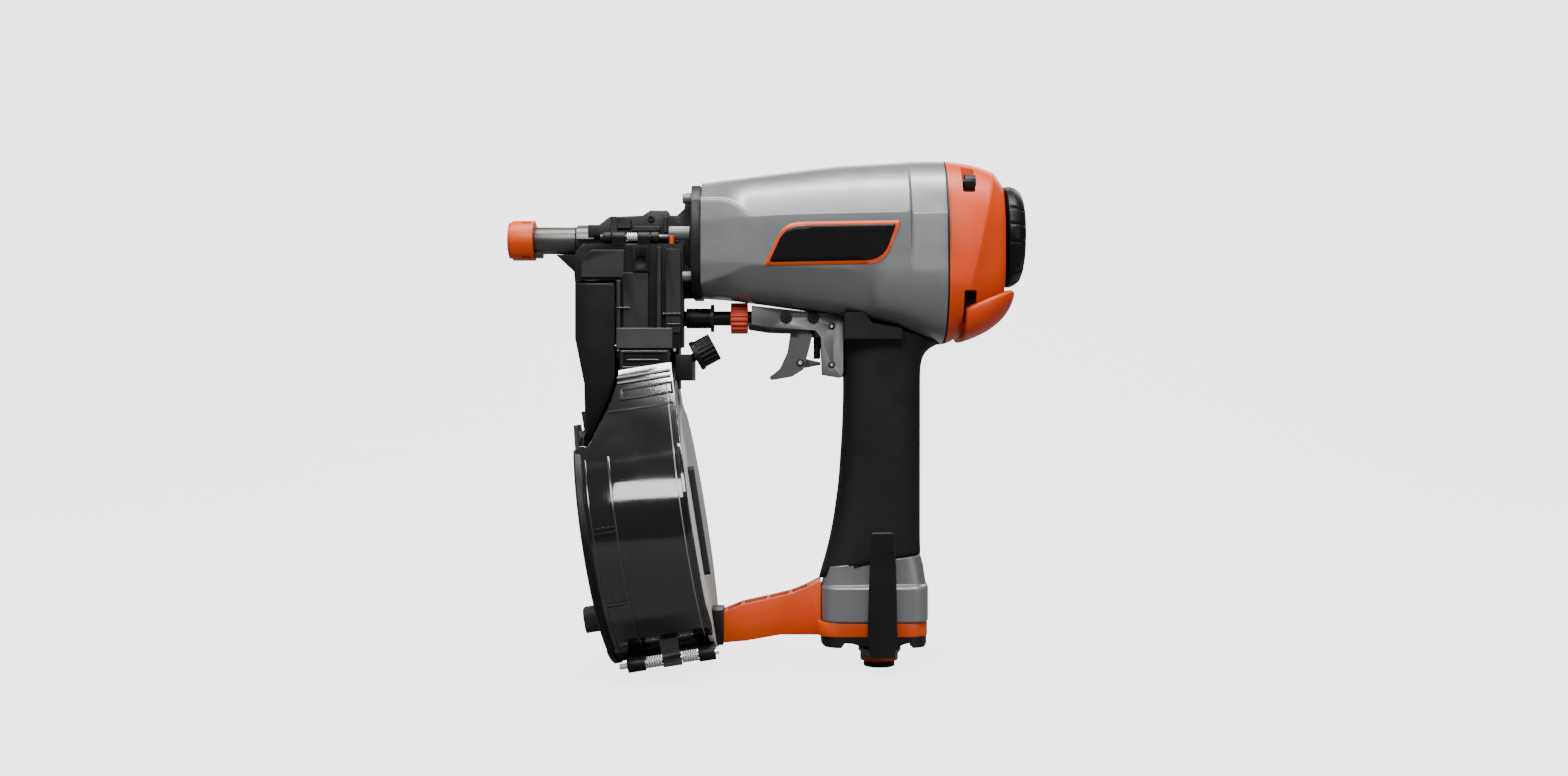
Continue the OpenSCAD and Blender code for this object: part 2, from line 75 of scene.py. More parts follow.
def noise(tree, scale, detail=4, rough=0.5, stretch=None):
    coords = tree.nodes.new("ShaderNodeTexCoord")
    tex = tree.nodes.new("ShaderNodeTexNoise")
    tex.inputs["Scale"].default_value = scale
    tex.inputs["Detail"].default_value = detail
    tex.inputs["Roughness"].default_value = rough
    if stretch:
        mapping = tree.nodes.new("ShaderNodeMapping")
        mapping.inputs["Scale"].default_value = stretch
        tree.links.new(coords.outputs["Object"], mapping.inputs["Vector"])
        tree.links.new(mapping.outputs["Vector"], tex.inputs["Vector"])
    else:
        tree.links.new(coords.outputs["Object"], tex.inputs["Vector"])
    return tex.outputs["Fac"]


def ramp(tree, source, low, high, start=0.3, end=0.7):
    node = tree.nodes.new("ShaderNodeValToRGB")
    node.color_ramp.elements[0].position = start
    node.color_ramp.elements[1].position = end
    node.color_ramp.elements[0].color = (*low, 1)
    node.color_ramp.elements[1].color = (*high, 1)
    tree.links.new(source, node.inputs["Fac"])
    return node.outputs["Color"]


def spread(tree, source, low, high):
    node = tree.nodes.new("ShaderNodeMapRange")
    node.inputs["From Min"].default_value = 0.3
    node.inputs["From Max"].default_value = 0.7
    node.inputs["To Min"].default_value = low
    node.inputs["To Max"].default_value = high
    tree.links.new(source, node.inputs["Value"])
    return node.outputs["Result"]


def edge_wear(tree):
    """Grows from 0 to 1 on sharp outer edges."""
    geometry = tree.nodes.new("ShaderNodeNewGeometry")
    node = tree.nodes.new("ShaderNodeMapRange")
    node.inputs["From Min"].default_value = 0.52
    node.inputs["From Max"].default_value = 0.62
    tree.links.new(geometry.outputs["Pointiness"], node.inputs["Value"])
    return node.outputs["Result"]


def surface(name, low, high, rough, metal=0.0, grain=900, bump=0.12, blotch=25, coat=0.0,
            wear=None, stretch=None, specular=0.5):
    """One moulded, painted or bare surface: two close colours, uneven gloss and a fine grain."""
    mat, tree, shader = new_material(name)
    color = ramp(tree, noise(tree, blotch), low, high)
    if wear:
        mix = tree.nodes.new("ShaderNodeMix")
        mix.data_type = "RGBA"
        mix.inputs["B"].default_value = (*wear, 1)
        tree.links.new(edge_wear(tree), mix.inputs["Factor"])
        tree.links.new(color, mix.inputs["A"])
        color = mix.outputs["Result"]
    tree.links.new(color, shader.inputs["Base Color"])
    fine = noise(tree, grain, 3, 0.55, stretch)
    tree.links.new(spread(tree, noise(tree, blotch * 3), rough[0], rough[1]), shader.inputs["Roughness"])
    node = tree.nodes.new("ShaderNodeBump")
    node.inputs["Strength"].default_value = bump
    node.inputs["Distance"].default_value = 0.0003
    tree.links.new(fine, node.inputs["Height"])
    tree.links.new(node.outputs["Normal"], shader.inputs["Normal"])
    shader.inputs["Metallic"].default_value = metal
    shader.inputs["Specular IOR Level"].default_value = specular
    shader.inputs["Coat Weight"].default_value = coat
    shader.inputs["Coat Roughness"].default_value = 0.12
    return mat


def grey(value, tint=1.0):
    return (value * tint, value, value / tint)


MATERIALS = {
    "silver_paint": surface("silver_paint", (0.086, 0.087, 0.091), (0.094, 0.095, 0.099), (0.3, 0.4),
                            metal=0.25, grain=1800, bump=0.10, coat=0.08),
    "grip_rubber": surface("grip_rubber", grey(0.0018), grey(0.003), (0.6, 0.78), grain=1500, bump=0.35,
                           specular=0.2),
    "black_plastic": surface("black_plastic", grey(0.0014), grey(0.0026), (0.36, 0.5), grain=1300, bump=0.16,
                             wear=grey(0.008), specular=0.12),
    "orange_plastic": surface("orange_plastic", (0.34, 0.026, 0.0006), (0.38, 0.031, 0.0008), (0.38, 0.5),
                              grain=1000, bump=0.06, wear=(0.46, 0.07, 0.008), specular=0.2),
    "orange_dark": surface("orange_dark", (0.24, 0.011, 0.0016), (0.28, 0.014, 0.002), (0.34, 0.46),
                           grain=1000, bump=0.06, wear=(0.45, 0.05, 0.01), specular=0.3),
    "black_steel": surface("black_steel", grey(0.002), grey(0.0036), (0.34, 0.48), grain=700,
                           bump=0.16, wear=grey(0.014), specular=0.14),
    "burnished_steel": surface("burnished_steel", grey(0.05, 1.06), grey(0.07, 1.06), (0.34, 0.46),
                               metal=0.85, grain=500, bump=0.08, stretch=(0.15, 1, 1)),
    "bright_steel": surface("bright_steel", grey(0.5), grey(0.6), (0.24, 0.36), metal=0.6, grain=500,
                            bump=0.06, stretch=(1, 0.2, 1)),
    "cast_aluminium": surface("cast_aluminium", grey(0.042), grey(0.05), (0.4, 0.52), metal=0.4, grain=900,
                              bump=0.22, wear=grey(0.15)),
    "grey_plastic": surface("grey_plastic", (0.30, 0.29, 0.27), (0.34, 0.33, 0.31), (0.4, 0.5), grain=1100,
                            bump=0.08),
    "black_rubber": surface("black_rubber", grey(0.0035), grey(0.0055), (0.6, 0.75), grain=900, bump=0.25,
                            specular=0.25),
    "badge_black": surface("badge_black", grey(0.002), grey(0.003), (0.3, 0.36), grain=600, bump=0.02,
                           specular=0.08),
    "plate_brown": surface("plate_brown", (0.013, 0.011, 0.0115), (0.016, 0.014, 0.0143), (0.4, 0.5),
                           grain=700, bump=0.08, specular=0.4),
    "rim_black": surface("rim_black", grey(0.007), grey(0.012), (0.12, 0.2), grain=600, bump=0.03,
                         specular=0.6),
    "rim_pale": surface("rim_pale", grey(0.12), grey(0.16), (0.16, 0.24), metal=0.4, grain=600, bump=0.03),
}


def smoky_plastic():
    """Dark clear plastic: glossy, with the inside faintly visible."""
    mat, tree, shader = new_material("smoky_plastic")
    tree.links.new(ramp(tree, noise(tree, 14), grey(0.004), grey(0.007)), shader.inputs["Base Color"])
    tree.links.new(spread(tree, noise(tree, 40), 0.06, 0.12), shader.inputs["Roughness"])
    node = tree.nodes.new("ShaderNodeBump")
    node.inputs["Strength"].default_value = 0.03
    node.inputs["Distance"].default_value = 0.0004
    tree.links.new(noise(tree, 60, 2), node.inputs["Height"])
    tree.links.new(node.outputs["Normal"], shader.inputs["Normal"])
    shader.inputs["Specular IOR Level"].default_value = 0.62
    shader.inputs["Alpha"].default_value = 0.9
    return mat


MATERIALS["smoky_plastic"] = smoky_plastic()


# ---- Mesh helpers -----------------------------------------------------------

def add_bevel(obj, width, segments, limit):
    mod = obj.modifiers.new("bevel", "BEVEL")
    mod.width = width * MM
    mod.segments = segments
    mod.limit_method = "ANGLE"
    mod.angle_limit = math.radians(limit)
    mod.use_clamp_overlap = True


def add_subsurf(obj, levels):
    mod = obj.modifiers.new("smooth", "SUBSURF")
    mod.levels = levels
    mod.render_levels = levels


def finish_piece(obj, mat, body, replaces=(), smooth=35, bevel=0.0, subsurf=0):
    """Gives a piece its material, softened edges, body and the CAD nodes it stands for."""
    obj.data.materials.append(MATERIALS[mat])
    for poly in obj.data.polygons:
        poly.use_smooth = True
    if subsurf:
        add_subsurf(obj, subsurf)
    if bevel:
        add_bevel(obj, bevel, 3, 28)
    if not subsurf:
        obj.data.set_sharp_from_angle(angle=math.radians(smooth))
    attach(obj, body)
    if replaces:
        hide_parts(*replaces)
    return obj


def mesh_object(name, verts, faces):
    mesh = bpy.data.meshes.new(name)
    mesh.from_pydata([Vector(v) * MM for v in verts], [], faces)
    work = bmesh.new()
    work.from_mesh(mesh)
    bmesh.ops.recalc_face_normals(work, faces=work.faces)
    work.to_mesh(mesh)
    work.free()
    obj = bpy.data.objects.new(name, mesh)
    bpy.context.scene.collection.objects.link(obj)
    return obj


def fillet(points, steps=5):
    """Rounds an outline: each point is (a, b) or (a, b, radius)."""
    out = []
    count = len(points)
    for i, point in enumerate(points):
        here = Vector(point[:2])
        if len(point) < 3 or point[2] <= 0:
            out.append(here)
            continue
        before = (Vector(points[i - 1][:2]) - here)
        after = (Vector(points[(i + 1) % count][:2]) - here)
        half = before.angle(after) / 2
        cut = min(point[2] / max(math.tan(half), 0.05), before.length * 0.49, after.length * 0.49)
        start = here + before.normalized() * cut
        end = here + after.normalized() * cut
        for k in range(steps + 1):
            t = k / steps
            out.append(start * (1 - t) ** 2 + here * 2 * t * (1 - t) + end * t * t)
    return out


AXES = {"y": lambda a, b, c: (a, c, b), "x": lambda a, b, c: (c, a, b), "z": lambda a, b, c: (a, b, c)}


def prism(name, outline, axis, low, high):
    """An outline swept straight from low to high along an axis."""
    place = AXES[axis]
    count = len(outline)
    verts = [place(p[0], p[1], low) for p in outline] + [place(p[0], p[1], high) for p in outline]
    faces = [tuple(range(count)), tuple(range(count, 2 * count))]
    faces += [(i, (i + 1) % count, (i + 1) % count + count, i + count) for i in range(count)]
    return mesh_object(name, verts, faces)


def block(name, x, y, z, radius=0.0):
    outline = fillet([(x[0], z[0], radius), (x[1], z[0], radius), (x[1], z[1], radius), (x[0], z[1], radius)])
    return prism(name, outline, "y", y[0], y[1])


def lathe(name, profile, origin, direction, around=64, wave=None):
    """Turns (distance along the axis, radius) points round the axis."""
    turn = Vector((0, 0, 1)).rotation_difference(Vector(direction)).to_matrix()
    verts, faces = [], []
    rows = len(profile)
    for k in range(around):
        angle = 2 * math.pi * k / around
        for j, (along, radius) in enumerate(profile):
            r = radius + (wave(angle, along) if wave else 0)
            verts.append(Vector(origin) + turn @ Vector((r * math.cos(angle), r * math.sin(angle), along)))
    for k in range(around):
        for j in range(rows - 1):
            a = k * rows + j
            b = ((k + 1) % around) * rows + j
            faces.append((a, b, b + 1, a + 1))
    for j in (0, rows - 1):
        faces.append(tuple(k * rows + j for k in range(around)))
    return mesh_object(name, verts, faces)


def loft(name, rings):
    """Skins a row of rings with equal point counts, and closes both ends."""
    count = len(rings[0])
    verts = [v for ring in rings for v in ring]
    faces = []
    for i in range(len(rings) - 1):
        for j in range(count):
            a = i * count + j
            b = i * count + (j + 1) % count
            faces.append((a, b, b + count, a + count))
    faces.append(tuple(range(count)))
    faces.append(tuple(range((len(rings) - 1) * count, len(rings) * count)))
    return mesh_object(name, verts, faces)


def tube(name, points, radius, sides):
    """A round bar along points, as a mesh."""
    verts, faces = [], []
    pts = [Vector(p) for p in points]
    count = len(pts)
    normal = None
    for i, p in enumerate(pts):
        ahead = pts[min(i + 1, count - 1)]
        behind = pts[max(i - 1, 0)]
        tangent = (ahead - behind).normalized()
        if normal is None:
            normal = tangent.orthogonal().normalized()
        normal = (normal - tangent * normal.dot(tangent)).normalized()
        side = tangent.cross(normal)
        for k in range(sides):
            angle = 2 * math.pi * k / sides
            verts.append(p + normal * radius * math.cos(angle) + side * radius * math.sin(angle))
    for i in range(count - 1):
        for k in range(sides):
            a = i * sides + k
            b = i * sides + (k + 1) % sides
            faces.append((a, b, b + sides, a + sides))
    faces.append(tuple(range(sides)))
    faces.append(tuple(range((count - 1) * sides, count * sides)))
    return mesh_object(name, verts, faces)


def cut_with(obj, cutters):
    """Applies the modifiers so far, then cuts the pieces away."""
    for cutter in cutters:
        mod = obj.modifiers.new("cut", "BOOLEAN")
        mod.operation = "DIFFERENCE"
        mod.solver = "EXACT"
        mod.object = cutter
    bpy.context.view_layer.update()
    solid = bpy.data.meshes.new_from_object(obj.evaluated_get(bpy.context.evaluated_depsgraph_get()))
    obj.modifiers.clear()
    obj.data = solid
    for cutter in cutters:
        bpy.data.objects.remove(cutter)


def mix(table, x):
    """Reads y at x from a list of (x, y) points, with straight lines between."""
    if x <= table[0][0]:
        return table[0][1]
    for (x0, y0), (x1, y1) in zip(table, table[1:]):
        if x <= x1:
            return y0 + (y1 - y0) * (x - x0) / (x1 - x0)
    return table[-1][1]


def crease_rows(obj, rows, count, columns, row_crease, column_crease, last=1000):
    """Creases a loft's edges: whole rings, and the lines along given columns up to the last ring."""
    mesh = obj.data
    layer = mesh.attributes.get("crease_edge") or mesh.attributes.new("crease_edge", "FLOAT", "EDGE")
    for edge in mesh.edges:
        a, b = edge.vertices
        ra, ca, rb, cb = a // count, a % count, b // count, b % count
        if ra == rb and ra in rows:
            layer.data[edge.index].value = row_crease
        elif ca == cb and ca in columns and max(ra, rb) <= last:
            layer.data[edge.index].value = column_crease


def drum(u, v, w):
    """A point in the canister's own tilted axes: u along it, v across and w up."""
    c, s = math.cos(TILT), math.sin(TILT)
    return DRUM + Vector((u * c - w * s, v, u * s + w * c))


# ---- Main housing -----------------------------------------------------------

# Lines along the housing, as (X, Z) or (X, half width)
TOP_LINE = [(-102, 279.9), (-69, 284), (-28.4, 289.2), (12.2, 291.6), (35.6, 291.8)]
BOTTOM_LINE = [(-102, 212.1), (-86, 211), (-69, 208.8), (-21, 202), (9.3, 195), (23.8, 189), (35.6, 185.8)]
WIDTH_LINE = [(-102, 31.5), (-60, 36.5), (-20, 41.2), (15, 44), (35.6, 44.4)]
UPPER_CREASE = [(-102, 254.5), (-58, 257.4), (15, 258.2), (35.6, 259)]
LOWER_CREASE = [(-102, 231), (-60, 229.6), (0, 226), (35.6, 225)]
# How far each crease's chamfer reaches at the front, and the columns of points that are creased
UPPER_FLAT = [(-102, 13), (-87, 11.5), (-80, 6.5), (-75, 0.8)]
LOWER_FLAT = [(-102, 12), (-90, 7.5), (-80, 3), (-75, 0.8)]
UPPER_EDGES = {3, 4, 14, 15}
LOWER_EDGES = {5, 6, 12, 13}


def housing_ring(x, step=0.0):
    """One cross-section: a flat side between two creases, a chamfer above it and one below."""
    top, bottom, half = mix(TOP_LINE, x), mix(BOTTOM_LINE, x), mix(WIDTH_LINE, x)
    upper, lower = mix(UPPER_CREASE, x), mix(LOWER_CREASE, x)
    above, below = mix(UPPER_FLAT, x), mix(LOWER_FLAT, x)
    flank = mix([(-9, 0), (-3, 1)], x)
    right = [
        (0, top),
        (half * 0.42, top - 1.6 + step * 0.4),
        (half * (0.735 - step * 0.02), top - 0.40 * (top - upper) + above * 0.12 - step * 0.4),
        (half * (0.985 - step * 0.05 - above * 0.002), upper + above - step),
        (half * (0.99 - step * 0.05), upper - step),
        (half, lower),
        (half * (1 - below * 0.005), lower - below),
        (half * (0.68 + 0.3 * flank), bottom + 5.4 + (203 - bottom) * 0.9 * flank),
        (half * (0.44 + 0.16 * flank), bottom + 0.8),
        (0, bottom),
    ]
    loop = right + [(-y, z) for y, z in reversed(right[1:-1])]
    return [(x, y, z) for y, z in loop]


def main_housing():
    front = [-101.9, -100.5, -94, -87, -80, -75, -68, -46, -24, -11, -7.5, -3.5, 2, 14.6]
    rear_band = [16, 25, 34.4, 35.5]
    rings = [housing_ring(x) for x in front]
    rings += [housing_ring(x, 1) for x in rear_band]
    obj = loft("housing_shell", rings)
    band_edge = len(front)
    crease_rows(obj, {0, band_edge - 1, band_edge, len(rings) - 1}, len(rings[0]), UPPER_EDGES, 1.0, 0.9)
    crease_rows(obj, set(), len(rings[0]), LOWER_EDGES, 0, 0.9, last=9)
    finish_piece(obj, "silver_paint", "root", ["main_housing"], subsurf=3)
    return obj


def handle_end():
    rings = []
    # Height, inset of the front and rear faces, half width, and how far the ring slants along X
    stations = [(27.4, 0.6, 19.9, 0), (28.2, 0, 20.5, 0), (46.6, 0, 20.5, 0), (47.6, 0.4, 19.6, 0.1),
                (48.4, 1.0, 17.4, 0.2), (57, 2.6, 16.6, 1), (62, 4.2, 16.4, 1.25)]
    for z, inset, half, slant in stations:
        x0, x1, r = -33.6 + inset * 0.6, 27.6 - inset, 12
        outline = fillet([(x0, -half, r), (x1, -half, r), (x1, half, r), (x0, half, r)], 8)
        rings.append([(p.x, p.y, z + slant * (p.x + 2) * 0.10) for p in outline])
    obj = loft("handle_end_shell", rings)
    finish_piece(obj, "silver_paint", "root", ["main_housing"], smooth=24, bevel=0.5)


PLATE_FOOT = [(-33.8, 14.5), (-32, 13), (-31, 12.8), (-22.5, 12.8), (-20.5, 15.6), (-16, 15.2), (-9, 13.2),
              (9, 13.2), (13, 15), (16.5, 15.8), (18, 12.8), (25, 12.8), (26.8, 14.5)]


def end_plate():
    """The plate round the inlet, with a lower edge that rises and falls along X."""
    x0, x1, half, corner, top, chamfer = -33.8, 26.8, 19, 12, 19.1, 0.8
    stations = [x0 + corner * (1 - math.cos(math.radians(a))) for a in range(0, 90, 12)]
    stations += [x for x, _ in PLATE_FOOT[3:-1]]
    stations += [x1 - corner * (1 - math.cos(math.radians(a))) for a in range(60, -1, -12)]
    rings = []
    for x in sorted(set(stations)):
        inside = max(0.0, corner - min(x - x0, x1 - x))
        wide = half - corner + math.sqrt(max(corner ** 2 - inside ** 2, 0.01))
        foot = mix(PLATE_FOOT, x)
        section = [(-wide, top), (wide, top), (wide, foot + chamfer), (wide - chamfer, foot),
                   (chamfer - wide, foot), (-wide, foot + chamfer)]
        rings.append([(x, y, z) for y, z in section])
    obj = loft("end_plate_shell", rings)
    inlet_r, bolt_r = 9.05, 3.4
    cutters = [lathe("cutter", [(0, inlet_r), (20, inlet_r)], (0, 0, 5), (0, 0, 1))]
    for x in (-26, 20):
        for y in (-11, 11):
            cutters.append(lathe("cutter", [(0, bolt_r), (8, bolt_r)], (x, y, 8), (0, 0, 1), 32))
    cut_with(obj, cutters)
    finish_piece(obj, "black_plastic", "root", ["end_plate"], smooth=24)


def grip():
    # Front edge, rear edge and half width against height from 0 to 1, then the slanted ends as (X, Z)
    left = [(0, -35.2), (0.04, -33.2), (0.1, -30.2), (0.2, -26.8), (0.35, -23.6), (0.55, -21.6), (0.7, -20.9),
            (0.82, -21.2), (1, -21.3)]
    right = [(0, 24), (0.06, 23.7), (0.85, 23.7), (0.9, 24.4), (0.95, 27.5), (1, 36.5)]
    half = [(0, 17), (0.1, 16.9), (0.5, 16.8), (0.85, 17.5), (1, 20.5)]
    low_line = [(-35, 51.0), (-20, 56.6), (-6, 60.3), (8.7, 62.6), (24, 65.2)]
    high_line = [(-21, 203), (-11, 203), (-6, 198.5), (-2, 196.5), (9, 196), (24, 190.5), (38, 186.6)]
    rings = []
    steps = 22
    around = 40
    for i in range(steps + 1):
        t = i / steps
        x0, x1, w = mix(left, t), mix(right, t), mix(half, t)
        ring = []
        for k in range(around):
            angle = 2 * math.pi * k / around
            c, s = math.cos(angle), math.sin(angle)
            x = (x0 + x1) / 2 + (x1 - x0) / 2 * math.copysign(abs(c) ** 0.62, c)
            y = w * math.copysign(abs(s) ** 0.72, s)
            low = mix(low_line, x)
            ring.append((x, y, low + (mix(high_line, x) - low) * t))
        rings.append(ring)
    obj = loft("grip_skin", rings)
    crease_rows(obj, {0, steps}, around, set(), 0.9, 0)
    finish_piece(obj, "grip_rubber", "root", ["grip_sleeve"], subsurf=1)
    outline = fillet([(-21.4, 188, 1), (-21.4, 203.6, 2.5), (-9.5, 203.6, 3), (-5.4, 197.6, 3),
                      (12, 194.6, 2), (12, 188, 1)], 6)
    obj = prism("grip_shoulder", outline, "y", -26, 26)
    finish_piece(obj, "grip_rubber", "root", bevel=1.6)


def rear_cap():
    # X at drive height, how far the ring leans back with height, top, bottom and half width
    stations = [(36.5, 0, 291.6, 185.8, 44.6), (37.4, 0, 291.6, 185.8, 44.6), (42.2, 0.03, 290.9, 187, 44.5),
                (49.2, 0.14, 288.9, 187.4, 44.3), (55.2, 0.24, 285.2, 187.9, 43.8),
                (60.2, 0.2, 281.6, 190.5, 40), (65.7, 0.1, 279.5, 195.5, 35.5),
                (69.2, 0.03, 277.5, 201, 31.5), (70.4, 0, 276, 208, 28)]
    rings = []
    base = [point for k, point in enumerate(housing_ring(35.5, 1)) if k not in (3, 6, 12, 15)]
    base_top, base_bottom, base_half = mix(TOP_LINE, 35.5), mix(BOTTOM_LINE, 35.5), mix(WIDTH_LINE, 35.5)
    for x, lean, top, bottom, half in stations:
        ring = []
        for _, y, z in base:
            height = bottom + (z - base_bottom) / (base_top - base_bottom) * (top - bottom)
            ring.append((min(x + lean * (height - DRIVE_Z), 70.6), y * half / base_half, height))
        rings.append(ring)
    obj = loft("cap_shell", rings)
    crease_rows(obj, {0, 4}, len(rings[0]), set(), 0.8, 0)
    add_subsurf(obj, 3)
    cutters = []
    for y in (-28, 28):
        for z in (DRIVE_Z + 30, DRIVE_Z - 37):
            away = 12 if z > DRIVE_Z else -12
            side = math.copysign(18, y)
            wide = sorted((y - side * 0.36, y + side))
            tall = sorted((z - away * 0.5, z + away))
            cutters.append(block("cutter", (44.6, 51.8), wide, tall, 1.5))
    cut_with(obj, cutters)
    finish_piece(obj, "orange_plastic", "root", ["rear_cap"], smooth=40)


def cap_chin():
    """The bulge under the exhaust, with its top edge sloping up to the rear."""
    stations = [(46.2, 205.5, 187.0, 38.5), (47, 206.2, 186.9, 39.8), (51.2, 208.2, 188.2, 40.4),
                (59.2, 211.6, 191.6, 39.2), (66.7, 214.4, 196.6, 34.8), (72.2, 216.5, 202.5, 28.5),
                (75.2, 216.4, 208, 22.5), (76, 214.6, 211, 18)]
    rings = []
    for x, top, bottom, half in stations:
        middle = (top + bottom) / 2 + 1
        right = [(0, top + 0.5), (half * 0.8, top + 0.2), (half, top - 1.2), (half, middle),
                 (half * 0.84, bottom + 2.6), (half * 0.5, bottom + 0.2), (0, bottom)]
        ring = right + [(-y, z) for y, z in reversed(right[1:-1])]
        rings.append([(x, y, z) for y, z in ring])
    obj = loft("cap_chin", rings)
    crease_rows(obj, {0}, len(rings[0]), {2, 10}, 0.7, 0.6)
    finish_piece(obj, "orange_plastic", "root", subsurf=2)


def deflector():
    def notch(angle, along):
        return -1.0 if (angle * 9 / math.pi) % 1.0 < 0.12 and along > 2.2 else 0.0
    profile = [(0.2, 8), (0.2, 27.5), (0.8, 29.0), (3.0, 29.2), (4.6, 29.0), (7.0, 28.0), (9.4, 26.0),
               (10.7, 23.0), (10.9, 20), (9.6, 18.6), (9.4, 9), (10.2, 8), (10.2, 0.6)]
    obj = lathe("deflector_cap", profile, (71.1, 0, DEFLECTOR_Z), (1, 0, 0), 144, notch)
    finish_piece(obj, "black_plastic", "deflector", ["exhaust_deflector"], smooth=32,
                 bevel=0.25)


# ---- Badges -----------------------------------------------------------------

def badge_outline(grow):
    outline = [(-66.6 - grow * 1.6, 228.8 - grow, 1), (0.5 + grow * 0.4, 229.4 - grow, 14),
               (9.8 + grow * 1.5, 253.2 + grow, 1), (-54.8 - grow * 0.3, 252.8 + grow, 14)]
    return fillet(outline, 8)


def patch(name, outline, side, lift, shell, mat):
    """A thin plate with the outline given in X and Z, laid on the housing."""
    inv = BVHTree.FromObject(shell, bpy.context.evaluated_depsgraph_get())
    work = bmesh.new()
    verts = [work.verts.new((p.x * MM, 0, p.y * MM)) for p in outline]
    work.faces.new(verts)
    bmesh.ops.triangulate(work, faces=work.faces)
    for _ in range(2):
        bmesh.ops.subdivide_edges(work, edges=work.edges, cuts=2, use_grid_fill=True)
    for vert in work.verts:
        hit, normal, _, _ = inv.ray_cast(Vector((vert.co.x, side * 0.1, vert.co.z)), Vector((0, -side, 0)))
        if hit is not None:
            vert.co = hit + Vector((0, side * lift * MM, 0))
    mesh = bpy.data.meshes.new(name)
    work.to_mesh(mesh)
    work.free()
    obj = bpy.data.objects.new(name, mesh)
    bpy.context.scene.collection.objects.link(obj)
    mod = obj.modifiers.new("thick", "SOLIDIFY")
    mod.thickness = 0.5 * MM
    mod.offset = 0
    finish_piece(obj, mat, "root", ["side_badges"], smooth=60)


def badges(shell):
    for side in (-1, 1):
        word = "near" if side < 0 else "far"
        patch(f"badge_border_{word}", badge_outline(0), side, 0.15, shell, "orange_plastic")
        patch(f"badge_field_{word}", badge_outline(-2.0), side, 0.45, shell, "badge_black")


# ---- Nose -------------------------------------------------------------------

def detail(name, x, y, z, mat="black_steel", body="root", radius=0.8, bevel=0.4):
    """A small rounded block."""
    finish_piece(block(name, x, y, z, radius), mat, body, bevel=bevel)


def screw(name, x, y, z, r, body="root", axis=(0, -1, 0), depth=1.4, mat="bright_steel"):
    """A round head with a sunken middle."""
    profile = [(0, r * 0.9), (0, r), (depth * 0.7, r), (depth, r * 0.82), (depth, r * 0.5),
               (depth * 0.35, r * 0.46), (depth * 0.35, 0.05)]
    obj = lathe(name, profile, (x, y, z), axis, 32)
    finish_piece(obj, mat, body, smooth=30)


def nose_details():
    for i, (x0, x1) in enumerate(((-154.6, -150.4), (-123.9, -121.9))):
        detail(f"clamp_plate_{i}", (x0, x1), (-11.4, 11.4), (249.6, 259), radius=1)
    detail("nose_bracket", (-151, -142.5), (-11, -9.3), (252, 258.5), radius=1.6)
    detail("nose_rail", (-142, -126), (-10.8, -9.3), (250.6, 253.4))
    detail("nose_top_pad", (-132.5, -121.8), (-8, 8), (261.8, 262.8), radius=0.4)
    half_turn = [math.radians(12 * k) for k in range(16)]
    arch = [Vector((9 * math.cos(a), DRIVE_Z + 9 * math.sin(a))) for a in half_turn]
    arch += [Vector((8 * math.cos(a), DRIVE_Z + 8 * math.sin(a))) for a in reversed(half_turn)]
    obj = prism("tube_guide", arch, "x", -174.6, -164)
    finish_piece(obj, "burnished_steel", "root", smooth=40, bevel=0.3)
    screw("nose_screw", -131.4, -9.4, 257.8, 2.1, mat="black_steel")
    detail("barrel_yoke", (-165, -156.5), (-8.6, 8.6), (249.2, 254.2), radius=1.2)
    profile = [(0, 4.1), (0, 4.5), (0.4, 4.9), (12, 4.9), (12.4, 4.5)]
    obj = lathe("drive_sleeve", profile, (-121.4, -6.2, 249.8), (1, 0, 0), 48)
    finish_piece(obj, "cast_aluminium", "root", smooth=40)
    profile = [(0, 0.8), (0.2, 1.5), (6.2, 1.5), (6.6, 0.9)]
    obj = lathe("indicator_pin", profile, (-119.4, -10.8, 241.4), (0, 0, 1), 20)
    finish_piece(obj, "orange_dark", "root", smooth=40)
    for name, x, z in (("rear_rib_119", (-119.5, -115), (244, 246)),
                       ("rear_rib_115", (-115.8, -108.2), (226, 246))):
        detail(name, x, (-9, 7), z, radius=0.6)


